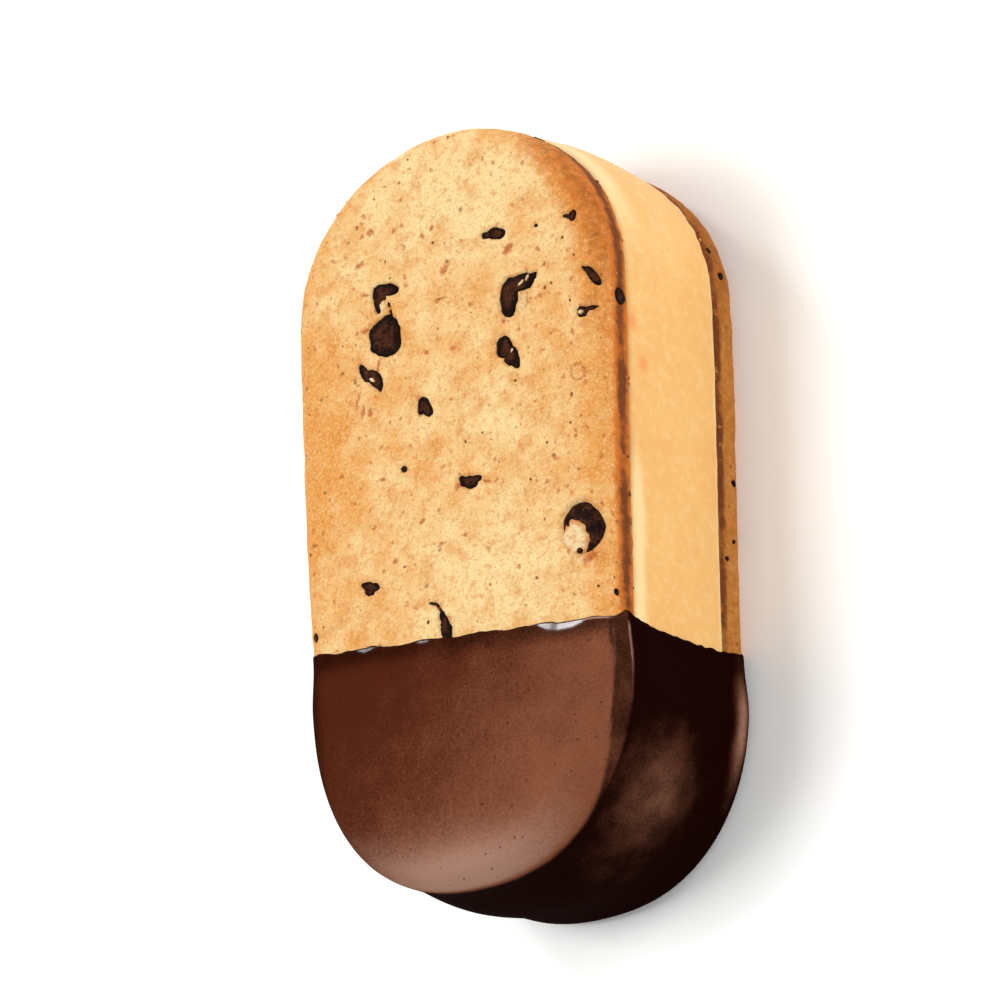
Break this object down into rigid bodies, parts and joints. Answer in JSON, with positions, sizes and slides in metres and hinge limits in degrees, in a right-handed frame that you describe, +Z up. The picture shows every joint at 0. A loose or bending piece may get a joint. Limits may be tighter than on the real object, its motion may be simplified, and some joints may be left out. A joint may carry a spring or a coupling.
{
  "type": "ice cream sandwich",
  "caption": "Oblong chocolate chip cookie sandwich with a slab of vanilla ice cream, one end dipped in dark chocolate.",
  "frame": {"origin": "middle of the footprint, on the surface the sandwich lies on", "axes": "+Y along the sandwich towards the bare end, +Z up through the cookies, +X across"},
  "size_m": [0.0528, 0.1052, 0.0329],
  "materials": {
    "cookie": "matte baked crumb, golden with browner rims",
    "ice_cream": "soft satin vanilla",
    "chocolate": "satin dark chocolate shell",
    "chip": "dull dark chocolate chips"
  },
  "bodies": {
    "root": {"cookie_bottom": "cookie", "ice_cream": "ice_cream", "cookie_top": "cookie", "chocolate_coat": "chocolate"}
  },
  "joints": []
}
